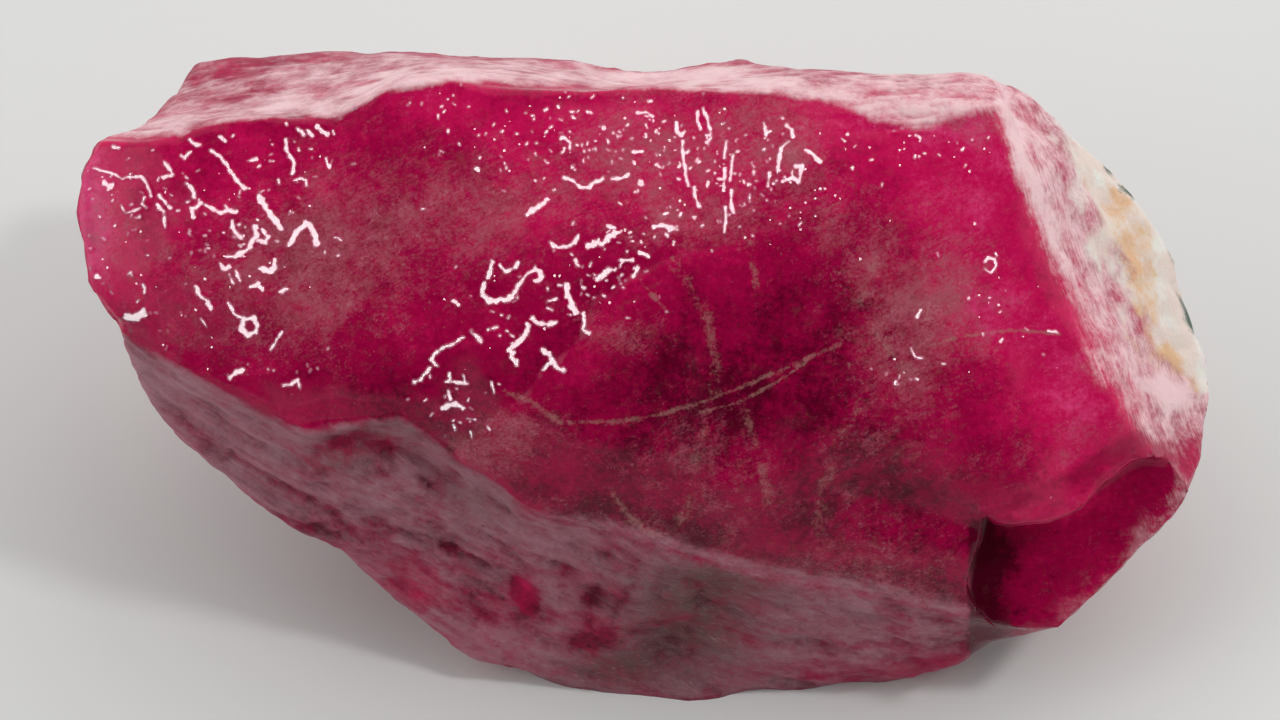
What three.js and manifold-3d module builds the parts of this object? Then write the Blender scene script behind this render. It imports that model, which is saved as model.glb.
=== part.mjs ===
// A rough piece of tugtupite, broken on every side, with a rind of pale host rock at its right end.
// It is one stone and so one solid. Millimetres, +Z up: the stone rests on z = 0 on a flat break.
// X runs along its length, and -Y is the side that the large main face leans towards.
//
// The shape is drawn as a stone breaks. Its edges are lines of points, and its faces hold a few
// spots between them. Everything is wrapped as one skin, filled with finer points and roughened.
import * as THREE from "three";
import { ConvexHull } from "three/addons/math/ConvexHull.js";
import { ImprovedNoise } from "three/addons/math/ImprovedNoise.js";
import { mergeVertices } from "three/addons/utils/BufferGeometryUtils.js";
import Module from "manifold-3d";

// Driving dimensions
const faceSlope = THREE.MathUtils.degToRad(30); // main face against the ground
const faceHeight = 17; // from the ground to the middle of the main face
const heart = new THREE.Vector3(0.5, 5.5, 7.5); // point inside, from which the whole skin is seen
const lengthShare = 0.6; // squeezes X while wrapping, as the stone is about twice as long as deep
const edgeStep = 0.64; // between points along an edge, at most
const edgeRoom = 0.2; // least room between two points of edges
const skinStep = 0.98; // between points on a face
const clearOfEdge = 0.62; // of skinStep, the least room between two points
const ground = { width: 80, depth: 4 }; // of the block that cuts the base flat
const scatterTries = 14; // for each place on a face that a point could take
const scatterSeed = 7;
const evenRounds = 12; // of turning thin triangles into fuller ones
const halfTurn = Math.PI + 1e-6;
const flatEnough = Math.cos(THREE.MathUtils.degToRad(30)); // between triangles that may be turned

// Relief in layers: size of the lumps, and how far they move the skin out or in
const relief = [
  { size: 5.5, height: 0.26, shift: 5 },
  { size: 2.4, height: 0.13, shift: 14 },
  { size: 1.3, height: 0.07, shift: 23 },
];
const wander = { size: 3.1, height: 0.3, shifts: [11, 23, 37] }; // makes the edges uneven

// A point given on the main face: u along it, v up its slope, w out of it
const onFace = ([u, v, w]) =>
  new THREE.Vector3(
    u,
    v * Math.cos(faceSlope) - w * Math.sin(faceSlope),
    v * Math.sin(faceSlope) + w * Math.cos(faceSlope) + faceHeight,
  );
const standing = ([x, y, z]) => new THREE.Vector3(x, y, z);

// Edges around the main face
const crest = [
  [-22.6, 5.5, -1.2],
  [-22.5, 7.2, -1.1],
  [-21.8, 8.8, -0.8],
  [-20.4, 8.7, -0.3],
  [-19.0, 8.9, -0.1],
  [-17.6, 9.4, 0],
  [-15.6, 9.7, 0],
  [-13.6, 9.7, -0.1],
  [-11.8, 9.6, -0.2],
  [-10.6, 10.7, 0.1],
  [-9.6, 11.0, 0.2],
  [-7.6, 11.2, 0.3],
  [-4.0, 10.9, 0.1],
  [0.4, 10.9, 0.1],
  [5.2, 10.7, -0.1],
  [8.4, 10.2, -0.3],
  [9.8, 9.8, -0.3],
  [11.2, 9.6, -0.4],
  [12.4, 10.1, -0.4],
  [14.2, 10.2, -0.6],
];
const bevelFront = [
  [14.2, 10.2, -0.6],
  [14.5, 9.2, -0.6],
  [14.9, 7.6, -0.6],
  [15.4, 6.2, -0.7],
  [16.4, 3.4, -0.9],
  [17.1, 2.0, -1.1],
  [17.8, 0.6, -1.4],
  [18.8, -1.0, -1.8],
  [19.5, -2.3, -2.2],
  [19.9, -3.6, -2.8],
];
const bevelBack = [
  [14.5, 10.9, -1.8],
  [15.5, 8.9, -2.4],
  [16.7, 6.5, -2.8],
  [17.6, 4.2, -3.1],
  [18.7, 1.6, -3.5],
  [20.0, -0.6, -4.0],
  [20.8, -2.4, -4.4],
  [21.4, -3.8, -4.9],
];
const brow = [
  [19.9, -3.6, -2.8],
  [21.2, -4.6, -3.4],
  [22.6, -5.4, -4.2],
  [21.9, -7.1, -4.0],
  [20.4, -8.9, -4.1],
  [18.6, -10.2, -4.4],
  [17.0, -11.4, -4.9],
  [14.8, -11.0, -5.6],
  [12.5, -10.2, -5.8],
];
const leftRidge = [
  [-22.6, 5.5, -1.2],
  [-22.1, 2.9, -1.6],
  [-21.0, 1.6, -1.7],
  [-20.0, 0.7, -1.6],
  [-18.2, -0.5, -1.5],
  [-16.4, -1.3, -1.5],
  [-15.0, -2.0, -1.6],
  [-13.8, -2.7, -1.8],
  [-12.9, -3.3, -2.3],
  [-11.8, -4.2, -3.2],
  [-9.8, -5.3, -4.0],
  [-6.6, -6.5, -4.7],
  [-3.4, -7.5, -5.0],
  [-1.6, -7.4, -3.9],
];
const lowerRidge = [
  [-13.8, -2.7, -1.8],
  [-12.0, -2.6, -1.6],
  [-10.8, -2.4, -1.3],
  [-9.6, -2.2, -1.0],
  [-8.8, -2.4, -1.0],
  [-8.0, -3.0, -1.2],
  [-6.4, -4.6, -1.8],
  [-5.4, -4.9, -2.0],
  [-4.6, -5.6, -2.2],
  [-4.0, -6.3, -2.5],
  [-2.8, -6.7, -2.8],
  [0, -7.2, -3.1],
  [2.0, -7.6, -3.4],
  [4.0, -8.0, -3.8],
  [6.0, -8.5, -4.2],
  [8.4, -9.1, -4.7],
  [10.5, -9.7, -5.2],
  [12.5, -10.2, -5.8],
];

// Folds within the main face: the low roof line between its two halves, and the fold and
// hollow between the right lobe and the block under it. The brow closes the lobe and is cut off.
const roofLine = [
  [7.6, 7.2, 0.5],
  [4.8, 5.8, 0.9],
  [2.4, 4.4, 1.1],
  [0, 3.5, 1.2],
  [-1.6, 2.8, 1.2],
  [-2.2, 0.8, 1.1],
  [-4.0, -1.2, 0.6],
  [-6.4, -3.4, -0.6],
];
const lobeFold = [
  [7.2, -3.0, -0.9],
  [9.0, -3.7, -1.0],
  [11.6, -4.6, -1.2],
  [13.4, -5.6, -1.7],
  [13.9, -6.3, -2.4],
];
const hollow = [
  [6.6, -5.2, -2.0],
  [8.6, -5.2, -2.5],
  [11.0, -5.8, -2.7],
  [13.2, -6.7, -2.9],
];

// The rim under the right lobe that is left once the notch is cut
const notchRim = [
  [15.1, -10.9, -7.2],
  [16.2, -11.0, -7.0],
  [17.0, -11.1, -6.9],
  [17.5, -10.6, -6.8],
  [18.9, -9.2, -6.4],
  [20.1, -8.2, -6.2],
  [21.5, -6.6, -5.8],
  [22.5, -5.1, -5.6],
  [23.3, -4.1, -6.8],
  [23.4, -2.9, -8.0],
];

const underNotch = [
  [17.0, -11.1, -6.9],
  [16.4, -11.4, -7.8],
  [15.6, -11.7, -8.6],
  [14.9, -11.8, -9.0],
];

// The far outline of the stone, all the way round as seen square to the main face
const rightEnd = [
  [23.4, -2.9, -8.0],
  [23.9, -1.4, -8.7],
  [23.5, 0.4, -9.0],
  [23.2, 1.7, -9.3],
  [22.4, 3.3, -9.3],
  [22.0, 4.6, -9.2],
  [21.1, 6.1, -9.0],
  [20.5, 7.2, -8.8],
  [19.2, 8.2, -8.5],
  [17.7, 9.2, -7.5],
  [16.8, 10.3, -6.5],
  [16.2, 10.9, -5.8],
  [15.1, 11.4, -5.0],
  [14.0, 11.7, -4.0],
  [12.2, 11.8, -3.5],
  [10.1, 11.7, -3.5],
  [8.5, 11.6, -4.0],
];
const backRim = [
  [8.5, 11.6, -4.0],
  [6.6, 12.0, -8.0],
  [4.2, 12.6, -11.0],
  [2.1, 12.0, -10.0],
  [0, 11.8, -10.0],
  [-3.4, 12.6, -11.5],
  [-6.7, 12.8, -12.0],
  [-12.6, 13.1, -12.3],
  [-15.1, 13.0, -12.0],
  [-18.6, 12.5, -11.5],
  [-19.3, 11.7, -11.0],
  [-19.6, 10.6, -9.0],
  [-20.3, 9.9, -6.0],
  [-21.3, 9.1, -3.0],
  [-21.8, 8.8, -0.8],
];
const lowerRim = [
  [-20.9, 0.9, -2.6],
  [-20.9, -0.4, -4.5],
  [-20.1, -2.2, -6.0],
  [-17.7, -4.4, -7.0],
  [-16.1, -5.8, -7.5],
  [-14.1, -7.2, -8.5],
  [-12.4, -7.9, -9.0],
  [-10.0, -10.3, -9.5],
  [-8.3, -11.4, -10.0],
  [-6.7, -12.6, -10.5],
  [-3.3, -13.3, -11.0],
  [0, -14.1, -11.5],
  [2.1, -14.6, -11.6],
  [5.0, -13.8, -11.3],
  [8.8, -13.5, -11.0],
  [12.9, -13.0, -10.0],
  [14.9, -11.8, -9.0],
  [15.1, -10.9, -7.2],
];

// A ledge, a shelf and a valley behind the crest, and grooves along the lower left flank
const backLedge = [
  [-20.2, 9.6, -4.6],
  [-16.5, 10.5, -4.4],
  [-12.9, 10.7, -4.0],
  [-10.3, 11.6, -3.4],
  [-6.0, 11.9, -3.6],
  [-1.6, 11.3, -4.0],
  [0.9, 11.0, -3.6],
  [3.2, 11.4, -3.6],
  [6.0, 11.5, -2.6],
  [8.6, 11.0, -1.5],
];
const backShelf = [
  [-17.2, 11.9, -8.2],
  [-13.4, 12.5, -8.0],
  [-9.2, 12.7, -7.4],
  [-5.4, 12.3, -7.6],
  [-2.6, 11.9, -8.2],
];
const backShelfFoot = [
  [-17.0, 11.6, -8.9],
  [-13.2, 12.2, -8.9],
  [-9.0, 12.3, -8.4],
  [-5.2, 12.0, -8.6],
  [-2.4, 11.7, -9.1],
];
const backValley = [
  [0.4, 10.9, 0.1],
  [0.9, 11.0, -3.6],
  [0.4, 11.1, -7.0],
  [0, 11.8, -10.0],
];
const flankGroove = [
  [-20.6, -0.2, -4.1],
  [-18.0, -1.8, -4.5],
  [-15.4, -3.4, -4.8],
  [-12.8, -5.0, -5.2],
  [-10.0, -6.6, -5.9],
  [-7.0, -7.6, -6.4],
];
const flankRib = [
  [-20.4, -1.0, -4.9],
  [-17.6, -3.0, -5.3],
  [-14.6, -5.2, -5.9],
  [-11.6, -7.4, -6.7],
  [-8.6, -9.0, -7.6],
];
const buttress = [
  [-1.6, -7.4, -3.9],
  [-0.4, -8.7, -4.6],
  [-0.6, -10.2, -6.4],
  [-1.2, -11.8, -8.6],
  [-0.6, -13.9, -11.4],
];
const buttressValley = [
  [-3.4, -7.5, -5.0],
  [-2.6, -9.2, -7.0],
  [-3.0, -11.1, -8.9],
];

// Single spots that bend the faces between the edges
const faceSpots = [
  [-17.0, 5.5, 0.5],
  [-19.5, 3.2, -0.2],
  [-11.4, 6.0, 0.2],
  [-12.0, 2.0, 0.1],
  [-12.6, -1.0, -0.5],
  [-5.0, 6.0, 1.0],
  [-6.5, 1.5, 0.9],
  [8.4, 3.5, 0.2],
  [5.0, 0, 0.1],
  [1.0, -2.4, 0.1],
  [-2.0, -4.0, -0.5],
  [4.0, -5.4, -1.2],
  [8.0, -2.0, -0.5],
  [11.0, 3.0, -0.1],
  [12.0, -1.5, -0.7],
  [13.8, 6.0, -0.2],
  [13.8, 1.0, -0.6],
  [16.5, -2.5, -1.3],
  [15.5, -5.0, -1.7],
  [8.0, -7.4, -3.0],
  [10.4, -7.6, -2.9],
  [12.6, -8.0, -3.2],
];
const nicheSpots = [
  [-12.0, -3.4, -3.1],
  [-10.2, -3.5, -3.2],
  [-8.6, -4.1, -3.5],
  [-7.2, -5.0, -4.0],
  [-5.6, -6.0, -4.2],
];
const flankSpots = [
  [1.8, -9.4, -6.6],
  [2.0, -11.8, -9.4],
  [5.0, -11.0, -7.6],
  [9.0, -11.6, -8.2],
  [12.5, -11.9, -8.4],
  [-6.0, -8.6, -6.6],
  [-5.6, -10.6, -8.3],
];
const endSpots = [
  [17.8, 8.0, -5.2],
  [19.2, 5.5, -5.9],
  [20.4, 2.8, -6.3],
  [21.3, 0.2, -6.6],
  [22.0, -2.2, -6.6],
];

// The far side, given as it stands: two ribs with a shallow scoop between them, a step across
// the right half and a ledge near the foot. Then spots under the left tip and on the wall, and
// the ring of the base, which starts below the ground so that the cut is clean.
const backFootLedge = [
  [-15.5, 11.5, 3.6],
  [-12.0, 14.2, 3.4],
  [-7.0, 15.6, 3.0],
  [-3.8, 17.0, 3.4],
  [0.4, 15.2, 3.8],
  [5.4, 14.8, 3.6],
  [9.6, 15.7, 4.4],
];
const backRibLeft = [
  [-6.7, 17.1, 13.0],
  [-6.0, 17.9, 9.4],
  [-4.6, 17.8, 5.8],
  [-3.8, 17.0, 3.4],
  [-3.2, 15.2, -1.2],
];
const backRibRight = [
  [6.6, 14.4, 16.1],
  [8.2, 15.9, 11.6],
  [9.4, 16.1, 7.6],
  [9.6, 15.7, 4.4],
  [10.0, 13.6, -1.2],
];
const backStep = [
  [9.4, 16.1, 7.6],
  [12.6, 15.2, 8.4],
  [15.8, 13.6, 8.0],
  [18.8, 11.0, 7.4],
  [21.2, 7.6, 6.2],
  [22.0, 3.6, 5.6],
];
const backStepFoot = [
  [9.6, 15.7, 4.4],
  [12.8, 14.3, 6.8],
  [15.6, 12.6, 6.4],
  [18.2, 10.2, 5.6],
  [20.2, 7.0, 4.6],
  [20.8, 3.2, 4.2],
  [19.4, -1.6, 3.8],
];
const frontCorner = [
  [14.9, -5.7, 3.3],
  [14.3, -5.2, 1.4],
  [12.9, -4.5, -1.2],
];
const hiddenSpots = [
  [-20.6, 6.5, 12.5],
  [-19.5, 11.0, 11.5],
  [-18.3, 3.2, 6.8],
  [-15.8, 8.5, 3.2],
  [-14.5, 1.5, 3.0],
  [-16.8, 11.8, 4.8],
  [-17.0, 14.4, 9.2],
  [-12.4, 15.4, 7.6],
  [-0.6, 15.6, 10.2],
  [3.2, 14.6, 9.2],
  [2.6, 14.2, 6.2],
  [15.2, 13.0, 11.4],
];
const baseRing = [
  [-12.8, 7.5, -1.2],
  [-11.5, 12.2, -1.2],
  [-3.0, 14.0, -1.2],
  [6.0, 13.2, -1.2],
  [13.0, 11.3, -1.2],
  [16.8, 6.2, -1.2],
  [16.4, 1.0, -1.2],
  [12.9, -4.5, -1.2],
  [6.0, -6.3, -1.2],
  [2.0, -7.0, -1.2],
  [-3.0, -5.8, -1.2],
  [-7.8, -3.2, -1.2],
  [-12.0, 1.8, -1.2],
  [-12.8, 7.5, -1.2],
];
const baseSpots = [
  [-5, 5, -1.6],
  [5, 4, -1.6],
  [12, 4, -1.6],
];

// The notch. Its wall runs up beside the block and along the lip of the lobe, given as u and v
const notchWall = [
  [15.9, -12.9],
  [15.2, -11.6],
  [13.9, -10.4],
  [13.5, -9.6],
  [13.8, -8.3],
  [14.1, -7.4],
  [14.1, -6.5],
  [14.7, -6.9],
  [15.6, -6.8],
  [16.7, -6.8],
  [17.6, -6.5],
  [18.4, -5.9],
  [19.0, -5.3],
  [19.6, -5.0],
  [20.1, -4.5],
  [20.8, -4.3],
  [22.2, -4.6],
  [24.0, -5.2],
  [26.5, -6.0],
];
const notchFar = [
  [16.4, -14.2],
  [27.8, -8.0],
];
const notchTop = 3;
const notchDepth = -4.5; // floor at the middle of the main face, from where it tilts
const notchTilt = { x: 0.03, y: 0.25 };
const undercut = new THREE.Vector3(-0.25, 0.45, 0); // how far the floor reaches under the lip
const notchGrid = [40, 6, 4];

const faceEdges = [
  crest,
  bevelFront,
  bevelBack,
  brow,
  leftRidge,
  lowerRidge,
  roofLine,
  lobeFold,
  hollow,
  notchRim,
  underNotch,
  rightEnd,
  backRim,
  lowerRim,
  backLedge,
  backShelf,
  backShelfFoot,
  backValley,
  flankGroove,
  flankRib,
  buttress,
  buttressValley,
];
const standingEdges = [
  backFootLedge,
  backRibLeft,
  backRibRight,
  backStep,
  backStepFoot,
  frontCorner,
  baseRing,
];

// The points of an edge with more between them, so that the skin can't cut across it
function along(line) {
  const points = [line[0]];
  for (let i = 1; i < line.length; i++) {
    const parts = Math.ceil(line[i].distanceTo(line[i - 1]) / edgeStep);
    for (let k = 1; k <= parts; k++) {
      points.push(new THREE.Vector3().lerpVectors(line[i - 1], line[i], k / parts));
    }
  }
  return points;
}

// Points with their neighbours in a grid, which refuses a point too close to one it holds
class PointCloth {
  constructor(room) {
    this.room = room;
    this.cells = new Map();
    this.points = [];
  }
  key(x, y, z) {
    return `${x},${y},${z}`;
  }
  add(point, room = this.room) {
    const [x, y, z] = point.toArray().map((c) => Math.floor(c / this.room));
    for (let i = x - 1; i <= x + 1; i++)
      for (let j = y - 1; j <= y + 1; j++)
        for (let k = z - 1; k <= z + 1; k++) {
          const near = this.cells.get(this.key(i, j, k)) ?? [];
          if (near.some((other) => other.distanceTo(point) < room)) return;
        }
    const home = this.key(x, y, z);
    this.cells.set(home, [...(this.cells.get(home) ?? []), point]);
    this.points.push(point);
  }
}

// Direction from the heart in the squeezed space, where the stone is about as long as deep
const bearing = (point) => {
  const way = point.clone().sub(heart);
  way.x *= lengthShare;
  return way.normalize();
};

// Wraps one closed skin around the points: three corner numbers for each triangle
function wrap(points) {
  const number = new Map();
  const bearings = points.map((point, i) => {
    const way = bearing(point);
    number.set(way, i);
    return way;
  });
  return new ConvexHull().setFromPoints(bearings).faces.map((face) => {
    const { edge } = face;
    return [edge, edge.next, edge.next.next].map((e) => number.get(e.head().point));
  });
}

// Repeatable random numbers from 0 to 1, by the mulberry32 method
function dice(seed) {
  let state = seed;
  return () => {
    state = (state + 0x6d2b79f5) | 0;
    let t = Math.imul(state ^ (state >>> 15), 1 | state);
    t = (t + Math.imul(t ^ (t >>> 7), 61 | t)) ^ t;
    return ((t ^ (t >>> 14)) >>> 0) / 4294967296;
  };
}

// Turns the side that two triangles share where that makes both fuller and keeps the shape
function evenOut(triangles, points) {
  const angleAt = (tip, a, b) =>
    points[a].clone().sub(points[tip]).angleTo(points[b].clone().sub(points[tip]));
  const normalOf = (corners) =>
    new THREE.Triangle(...corners.map((i) => points[i])).getNormal(new THREE.Vector3());
  for (let round = 0; round < evenRounds; round++) {
    const sides = new Map();
    triangles.forEach((corners, i) => {
      corners.forEach((a, k) => sides.set(`${a},${corners[(k + 1) % 3]}`, [i, corners[(k + 2) % 3]]));
    });
    const turned = new Set();
    for (const [side, [i, c]] of [...sides]) {
      const [a, b] = side.split(",").map(Number);
      const [j, d] = sides.get(`${b},${a}`);
      if (turned.has(i) || turned.has(j) || sides.has(`${c},${d}`)) continue;
      if (angleAt(c, a, b) + angleAt(d, a, b) < halfTurn) continue;
      const pair = [[a, d, c], [d, b, c]];
      const normals = [[a, b, c], [b, a, d], ...pair].map(normalOf);
      if (normals.some((one) => normals.some((other) => one.dot(other) < flatEnough))) continue;
      [triangles[i], triangles[j]] = pair;
      turned.add(i).add(j);
      sides.set(`${c},${d}`, [i, a]).set(`${d},${c}`, [j, b]);
    }
  }
  return triangles;
}

// Scatters points over the triangles of the plain skin
function scatter(cloth, corners, triangles) {
  const roll = dice(scatterSeed);
  const face = new THREE.Triangle();
  for (const [a, b, c] of triangles) {
    face.set(corners[a], corners[b], corners[c]);
    const count = Math.ceil((scatterTries * face.getArea()) / skinStep ** 2);
    for (let i = 0; i < count; i++) {
      let p = roll();
      let q = roll();
      if (p + q > 1) [p, q] = [1 - p, 1 - q];
      cloth.add(
        new THREE.Vector3()
          .addScaledVector(face.a, 1 - p - q)
          .addScaledVector(face.b, p)
          .addScaledVector(face.c, q),
      );
    }
  }
}

// Moves a point sideways and then in or out, as the layers of relief say
const perlin = new ImprovedNoise();
const lump = ({ x, y, z }, size, shift) =>
  perlin.noise(x / size + shift, y / size + 2 * shift, z / size - shift);
function roughen(point) {
  const drift = new THREE.Vector3(...wander.shifts.map((shift) => lump(point, wander.size, shift)));
  const moved = point.clone().addScaledVector(drift, wander.height);
  const out = moved.clone().sub(heart).normalize();
  relief.forEach(({ size, height, shift }) =>
    moved.addScaledVector(out, height * lump(point, size, shift)),
  );
  return moved;
}

function skinGeometry() {
  const edges = [
    ...faceEdges.map((line) => line.map(onFace)),
    ...standingEdges.map((line) => line.map(standing)),
  ];
  const spots = [...faceSpots, ...nicheSpots, ...flankSpots, ...endSpots].map(onFace);
  spots.push(...[...hiddenSpots, ...baseSpots].map(standing));

  const plain = new PointCloth(clearOfEdge * skinStep);
  edges.flatMap(along).forEach((point) => plain.add(point, edgeRoom));
  spots.forEach((point) => plain.add(point));

  const corners = [...plain.points];
  scatter(plain, corners, wrap(corners));
  const triangles = evenOut(wrap(plain.points), plain.points);

  const skin = new THREE.BufferGeometry();
  skin.setFromPoints(plain.points.map(roughen));
  skin.setIndex(triangles.flat());
  return skin;
}

// The piece that came away under the right lobe: a block bent to follow the notch wall
function notchGeometry() {
  const wall = new THREE.CatmullRomCurve3(
    notchWall.map(([u, v]) => new THREE.Vector3(u, v, 0)), false, "catmullrom", 0.1,
  );
  const far = new THREE.LineCurve3(...notchFar.map(([u, v]) => new THREE.Vector3(u, v, 0)));
  const block = new THREE.BoxGeometry(1, 1, 1, ...notchGrid).translate(0.5, 0.5, 0.5);
  const position = block.getAttribute("position");
  for (let i = 0; i < position.count; i++) {
    const [length, out, down] = [position.getX(i), position.getY(i), position.getZ(i)];
    const spot = wall.getPointAt(length).lerp(far.getPoint(length), out);
    spot.addScaledVector(undercut, down * (1 - out));
    const floor = notchDepth + notchTilt.x * spot.x + notchTilt.y * spot.y;
    const w = THREE.MathUtils.lerp(notchTop, floor, down);
    const moved = roughen(onFace([spot.x, spot.y, w]));
    position.setXYZ(i, ...moved.toArray());
  }
  return block;
}

// Joins and cuts are made on manifold solids
const wasm = await Module();
wasm.setup();
function solidOf(geometry) {
  const bare = geometry.clone();
  bare.deleteAttribute("normal");
  bare.deleteAttribute("uv");
  const merged = mergeVertices(bare);
  return new wasm.Manifold(
    new wasm.Mesh({
      numProp: 3,
      vertProperties: merged.getAttribute("position").array,
      triVerts: new Uint32Array(merged.index.array),
    }),
  );
}
function geometryOf(solid) {
  const { vertProperties, triVerts } = solid.getMesh();
  const made = new THREE.BufferGeometry();
  made.setAttribute("position", new THREE.BufferAttribute(vertProperties, 3));
  made.setIndex(new THREE.BufferAttribute(triVerts, 1));
  made.computeVertexNormals();
  return made;
}

// The flat break that the stone rests on
const groundBlock = new THREE.BoxGeometry(ground.width, ground.width, ground.depth);
groundBlock.translate(0, 0, -ground.depth / 2);
const broken = solidOf(skinGeometry()).subtract(solidOf(notchGeometry()));
const stone = new THREE.Mesh(
  geometryOf(broken.subtract(solidOf(groundBlock))),
  new THREE.MeshStandardMaterial({ color: 0x9c1247, roughness: 0.35, metalness: 0 }),
);
stone.name = "tugtupite";

const part = new THREE.Group();
part.add(stone);
export default part;
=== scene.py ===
import math
import random

import bmesh
import bpy
import numpy as np
from mathutils import Matrix, Vector, kdtree, noise


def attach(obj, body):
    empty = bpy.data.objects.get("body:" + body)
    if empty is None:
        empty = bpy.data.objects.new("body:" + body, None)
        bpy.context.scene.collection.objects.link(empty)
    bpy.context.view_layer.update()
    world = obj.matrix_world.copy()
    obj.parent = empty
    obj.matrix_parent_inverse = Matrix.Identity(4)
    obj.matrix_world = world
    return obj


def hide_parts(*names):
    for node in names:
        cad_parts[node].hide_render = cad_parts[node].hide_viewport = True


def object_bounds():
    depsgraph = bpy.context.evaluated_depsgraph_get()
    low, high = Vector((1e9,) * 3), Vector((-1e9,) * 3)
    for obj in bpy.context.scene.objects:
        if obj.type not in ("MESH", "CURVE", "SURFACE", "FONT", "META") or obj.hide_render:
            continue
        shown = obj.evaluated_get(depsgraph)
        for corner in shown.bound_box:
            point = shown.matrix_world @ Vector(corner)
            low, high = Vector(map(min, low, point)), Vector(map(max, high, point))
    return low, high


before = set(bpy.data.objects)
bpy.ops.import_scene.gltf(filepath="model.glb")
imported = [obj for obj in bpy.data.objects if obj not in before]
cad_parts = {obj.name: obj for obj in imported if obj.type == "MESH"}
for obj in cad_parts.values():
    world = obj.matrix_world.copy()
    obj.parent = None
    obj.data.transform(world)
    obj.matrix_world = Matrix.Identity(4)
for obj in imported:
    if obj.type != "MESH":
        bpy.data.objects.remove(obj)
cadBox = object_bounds()
mm = 0.001

# camera: it looks square at the large face, which leans back by 30 degrees

shot = {
    "size": (1280, 720),
    "pxPerMm": 25,   # on the large face
    "lens": 165,
    "sensor": 36,
    "elevation": 60,
    "faceHeight": 17,   # mm, middle of the large face above the floor
}
tilt = math.radians(shot["elevation"])
eastward = Vector((1, 0, 0))
towardCamera = Vector((0, -math.cos(tilt), math.sin(tilt)))
upTheFace = Vector((0, math.sin(tilt), math.cos(tilt)))
faceMiddle = Vector((0, 0, shot["faceHeight"]))
camDistance = shot["size"][0] / shot["pxPerMm"] * shot["lens"] / shot["sensor"]
cameraPlace = faceMiddle + towardCamera * camDistance

# the lamp that the wet face mirrors stands high up to the right of the camera
lamp = {
    "distance": 420,   # mm
    "aside": 36, "above": 30,   # degrees from the camera's line
    "size": 50,   # mm
    "power": 0.4,   # watts
    "leastFacing": 0.2,   # the film leans as if the stone turned at least so far to the camera
}
lampPlace = faceMiddle + (
    towardCamera + upTheFace * math.tan(math.radians(lamp["above"]))
    + eastward * math.tan(math.radians(lamp["aside"]))).normalized() * lamp["distance"]


def show(thing):
    bpy.context.scene.collection.objects.link(thing)


def makeCamera():
    data = bpy.data.cameras.new("camera")
    data.lens = shot["lens"]
    data.sensor_width = shot["sensor"]
    data.clip_start = 10 * mm
    data.clip_end = 20
    camera = bpy.data.objects.new("camera", data)
    camera.location = cameraPlace * mm
    camera.rotation_euler = (math.radians(90 - shot["elevation"]), 0, 0)
    show(camera)
    bpy.context.scene.camera = camera


def faceView(points):
    # places on the face are given in pixels of the camera's frame, and how far they stand out in mm
    away = points - np.array(faceMiddle)
    out = away @ np.array(towardCamera)
    zoom = shot["pxPerMm"] * camDistance / (camDistance - out)
    x = shot["size"][0] / 2 + away[:, 0] * zoom
    y = shot["size"][1] / 2 - away @ np.array(upTheFace) * zoom
    return x, y, out


makeCamera()
print("camera placed")

# glints: small flat places in the wet face that mirror the lamp
# half width, then the line that the middle follows, as x, y, x, y, all in pixels

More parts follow.
